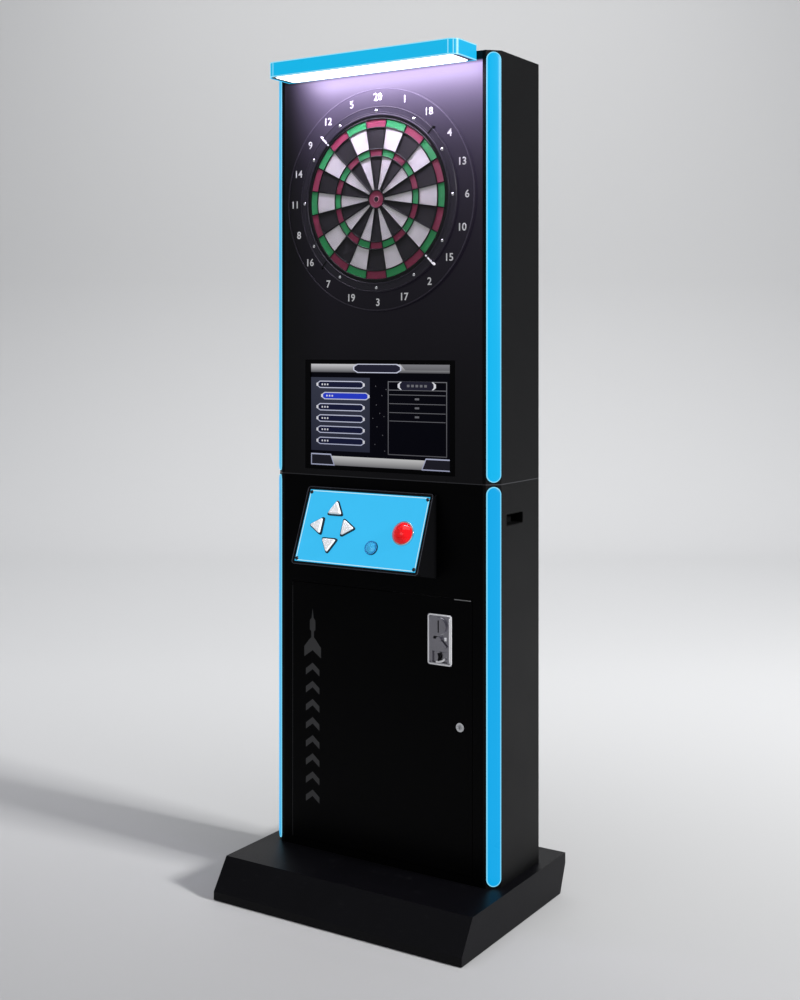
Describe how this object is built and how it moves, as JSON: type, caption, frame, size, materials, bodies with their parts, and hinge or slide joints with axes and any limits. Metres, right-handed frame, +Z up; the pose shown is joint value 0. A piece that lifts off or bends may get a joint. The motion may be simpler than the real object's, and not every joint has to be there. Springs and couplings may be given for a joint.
{
  "type": "dart board cabinet",
  "caption": "Free-standing electronic dart machine: soft-tip board over a monitor, sloping button console, coin door, lit corner strips and lamp canopy on a wide plinth.",
  "frame": {"origin": "on the floor, under the middle of the plinth", "axes": "+X to the player's right when facing the machine, +Y from the player towards the back, +Z up"},
  "size_m": [0.706, 0.523, 2.0798],
  "materials": {
    "plinth_black": "satin powder coat",
    "board_raw": "plain board",
    "pad_rubber": "matt",
    "zinc": "zinc plated",
    "side_black": "fine textured laminate",
    "front_black": "semi-gloss laminate",
    "post_black": "matt",
    "strip_blue": "translucent acrylic, lit",
    "seam_grey": "anodised",
    "led_white": "printed strip",
    "lamp_blue": "translucent acrylic, lit",
    "lamp_black": "matt",
    "lamp_opal": "opal",
    "ring_black": "satin",
    "spider_black": "satin",
    "seg_black": "satin moulded",
    "seg_white": "satin moulded",
    "seg_red": "satin moulded",
    "seg_green": "satin moulded",
    "membrane": "printed film",
    "mdf": "plain board",
    "window_black": "gloss",
    "screen": "lit display",
    "case_grey": "satin",
    "console_black": "satin",
    "console_blue": "printed film",
    "bezel_black": "satin",
    "arrow_white": "translucent",
    "blue_cap": "translucent",
    "chrome": "polished",
    "red_cap": "translucent",
    "switch": "moulded",
    "screws": "plated",
    "pcb": "solder mask",
    "cash_steel": "satin",
    "validator": "moulded"
  },
  "bodies": {
    "cabinet": {"plinth_shell": "plinth_black", "plinth_board": "board_raw", "plinth_pads": "pad_rubber", "cabinet_bolts": "zinc", "side_boards": "side_black", "side_handles": "post_black", "corner_posts": "post_black", "light_strips": "strip_blue", "led_lighting": "led_white", "seam_plate": "seam_grey", "deck_boards": "mdf", "back_panels": "side_black", "lower_front_panel": "front_black", "upper_front_panel": "front_black", "lamp_shell": "lamp_blue", "lamp_frame": "lamp_black", "lamp_diffuser": "lamp_opal", "number_ring": "ring_black", "catch_ring": "ring_black", "board_spider": "spider_black", "segments_black": "seg_black", "segments_white": "seg_white", "segments_red": "seg_red", "segments_green": "seg_green", "sensor_membrane": "membrane", "board_backplate": "mdf", "monitor_window": "window_black", "monitor_screen": "screen", "monitor_case": "case_grey", "console_housing": "console_black", "console_plate": "console_blue", "button_bezels": "bezel_black", "red_bezel": "chrome", "button_switches": "switch", "panel_screws": "screws", "hinge_fixed_leaves": "zinc", "power_inlet": "switch", "power_supply": "case_grey", "control_board": "pcb"},
    "arrow_up": {"arrow_up": "arrow_white"},
    "arrow_down": {"arrow_down": "arrow_white"},
    "arrow_left": {"arrow_left": "arrow_white"},
    "arrow_right": {"arrow_right": "arrow_white"},
    "blue_push": {"blue_button": "blue_cap"},
    "red_push": {"red_button": "red_cap"},
    "outer_bull_press": {"outer_bull": "seg_red"},
    "inner_bull_press": {"inner_bull": "seg_black"},
    "front_door": {"service_door": "front_black", "door_hinge_leaf": "zinc", "coin_plate": "chrome", "coin_validator": "validator", "door_lock_barrel": "chrome"},
    "return_flap": {"coin_return_flap": "chrome"},
    "return_lever": {"coin_return_lever": "chrome"},
    "front_lock": {"door_lock_plug": "zinc"},
    "back_door": {"rear_door": "side_black", "rear_hinge_leaf": "zinc"},
    "back_latch": {"rear_latch": "switch"},
    "coin_box": {"cash_box": "cash_steel"},
    "rocker": {"power_rocker": "red_cap"}
  },
  "joints": [
    {"name": "arrow_up_press", "type": "slide", "parent": "cabinet", "child": "arrow_up", "axis": [0, 0.9273, -0.3742], "range_m": [0, 0.003], "stiffness_N_per_m": 300, "springref_m": -0.004},
    {"name": "arrow_down_press", "type": "slide", "parent": "cabinet", "child": "arrow_down", "axis": [0, 0.9273, -0.3742], "range_m": [0, 0.003], "stiffness_N_per_m": 300, "springref_m": -0.004},
    {"name": "arrow_left_press", "type": "slide", "parent": "cabinet", "child": "arrow_left", "axis": [0, 0.9273, -0.3742], "range_m": [0, 0.003], "stiffness_N_per_m": 300, "springref_m": -0.004},
    {"name": "arrow_right_press", "type": "slide", "parent": "cabinet", "child": "arrow_right", "axis": [0, 0.9273, -0.3742], "range_m": [0, 0.003], "stiffness_N_per_m": 300, "springref_m": -0.004},
    {"name": "blue_press", "type": "slide", "parent": "cabinet", "child": "blue_push", "axis": [0, 0.9273, -0.3742], "range_m": [0, 0.003], "stiffness_N_per_m": 300, "springref_m": -0.004},
    {"name": "red_press", "type": "slide", "parent": "cabinet", "child": "red_push", "axis": [0, 0.9273, -0.3742], "range_m": [0, 0.003], "stiffness_N_per_m": 300, "springref_m": -0.004},
    {"name": "outer_bull_slide", "type": "slide", "parent": "cabinet", "child": "outer_bull_press", "axis": [0, 1, 0], "range_m": [0, 0.0015], "stiffness_N_per_m": 500, "springref_m": -0.003},
    {"name": "inner_bull_slide", "type": "slide", "parent": "cabinet", "child": "inner_bull_press", "axis": [0, 1, 0], "range_m": [0, 0.0015], "stiffness_N_per_m": 500, "springref_m": -0.003},
    {"name": "front_door_hinge", "type": "hinge", "parent": "cabinet", "child": "front_door", "pos_m": [-0.265, -0.0533, 0.442], "axis": [0, 0, -1], "range_deg": [0, 100]},
    {"name": "return_flap_hinge", "type": "hinge", "parent": "front_door", "child": "return_flap", "pos_m": [0.175, -0.0515, 0.6374], "axis": [1, 0, 0], "range_deg": [0, 55]},
    {"name": "return_lever_turn", "type": "hinge", "parent": "front_door", "child": "return_lever", "pos_m": [0.175, -0.0575, 0.669], "axis": [0, 1, 0], "range_deg": [0, 30], "stiffness_Nm_per_rad": 0.05, "springref_deg": -22.92},
    {"name": "front_lock_turn", "type": "hinge", "parent": "front_door", "child": "front_lock", "pos_m": [0.23, -0.0545, 0.465], "axis": [0, -1, 0], "range_deg": [0, 90]},
    {"name": "back_door_hinge", "type": "hinge", "parent": "cabinet", "child": "back_door", "pos_m": [-0.218, 0.1653, 1.67], "axis": [0, 0, 1], "range_deg": [0, 110]},
    {"name": "back_latch_turn", "type": "hinge", "parent": "back_door", "child": "back_latch", "pos_m": [0.19, 0.1665, 1.67], "axis": [0, -1, 0], "range_deg": [0, 90]},
    {"name": "coin_box_lift", "type": "slide", "parent": "cabinet", "child": "coin_box", "axis": [0, 0, 1], "range_m": [0, 0.04]},
    {"name": "power_rocker_tilt", "type": "hinge", "parent": "cabinet", "child": "rocker", "pos_m": [0.215, 0.1635, 0.19], "axis": [1, 0, 0], "range_deg": [-8, 8]}
  ]
}
